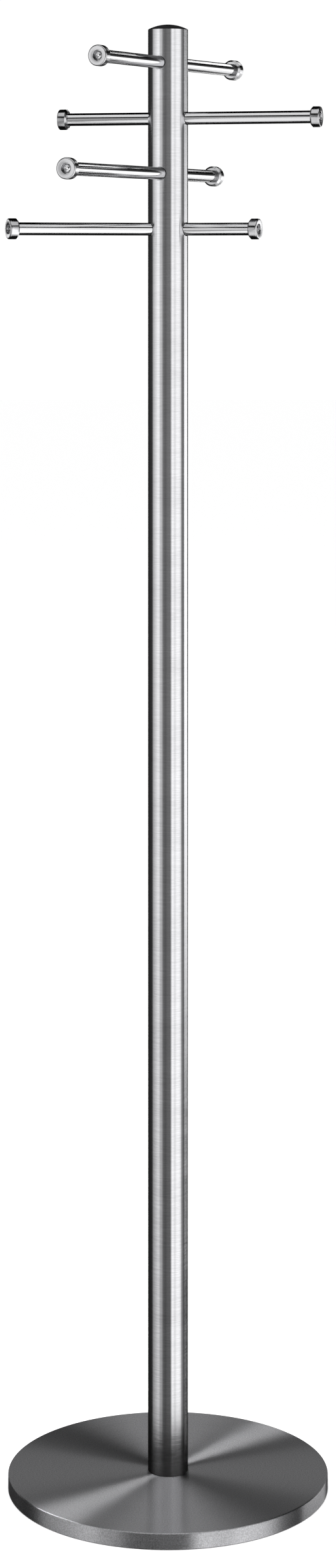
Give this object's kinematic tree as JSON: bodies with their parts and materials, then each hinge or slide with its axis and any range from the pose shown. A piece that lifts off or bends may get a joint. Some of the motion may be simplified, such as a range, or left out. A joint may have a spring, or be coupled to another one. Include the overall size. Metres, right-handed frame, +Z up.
{
  "type": "standing coat rack",
  "caption": "Standing coat rack: round weighted disc base, straight brushed steel post with a domed cap, and straight round arms with disc knobs near the top.",
  "frame": {"origin": "on the floor, at the middle of the base's underside, on the post's axis", "axes": "+Z up along the post, -Y towards the front, +X to the right of someone in front"},
  "size_m": [0.4011, 0.4623, 1.8322],
  "materials": {
    "post_steel": "stainless tube, brushed around its circumference",
    "base_steel": "spun stainless sheet, brushed in circles",
    "rod_steel": "stainless bar, fine satin polish along its length",
    "knob_steel": "turned stainless steel, satin",
    "screw_steel": "bright stainless steel",
    "cap_plastic": "black moulded plastic, fine satin",
    "hub_alloy": "turned",
    "zinc_steel": "zinc plated",
    "ballast_iron": "cast, black primer",
    "pad_rubber": "matt anti-slip foam rubber"
  },
  "bodies": {
    "root": {"floor_pad": "pad_rubber", "ballast_plate": "ballast_iron", "base_cover": "base_steel", "base_bolt": "zinc_steel", "spring_washer": "zinc_steel", "flat_washer": "zinc_steel", "foot_plug": "zinc_steel", "post_tube": "post_steel", "top_cap": "cap_plastic", "arm_hub_1": "hub_alloy", "arm_1_left_rod": "rod_steel", "arm_1_left_stud": "zinc_steel", "arm_1_left_knob": "knob_steel", "arm_1_left_screw": "screw_steel", "arm_1_right_rod": "rod_steel", "arm_1_right_stud": "zinc_steel", "arm_1_right_knob": "knob_steel", "arm_1_right_screw": "screw_steel", "arm_hub_2": "hub_alloy", "arm_2_left_rod": "rod_steel", "arm_2_left_stud": "zinc_steel", "arm_2_left_knob": "knob_steel", "arm_2_left_screw": "screw_steel", "arm_2_right_rod": "rod_steel", "arm_2_right_stud": "zinc_steel", "arm_2_right_knob": "knob_steel", "arm_2_right_screw": "screw_steel", "arm_hub_3": "hub_alloy", "arm_3_left_rod": "rod_steel", "arm_3_left_stud": "zinc_steel", "arm_3_left_knob": "knob_steel", "arm_3_left_screw": "screw_steel", "arm_3_right_rod": "rod_steel", "arm_3_right_stud": "zinc_steel", "arm_3_right_knob": "knob_steel", "arm_3_right_screw": "screw_steel", "arm_hub_4": "hub_alloy", "arm_4_left_rod": "rod_steel", "arm_4_left_stud": "zinc_steel", "arm_4_left_knob": "knob_steel", "arm_4_left_screw": "screw_steel", "arm_4_right_rod": "rod_steel", "arm_4_right_stud": "zinc_steel", "arm_4_right_knob": "knob_steel", "arm_4_right_screw": "screw_steel"}
  },
  "joints": []
}
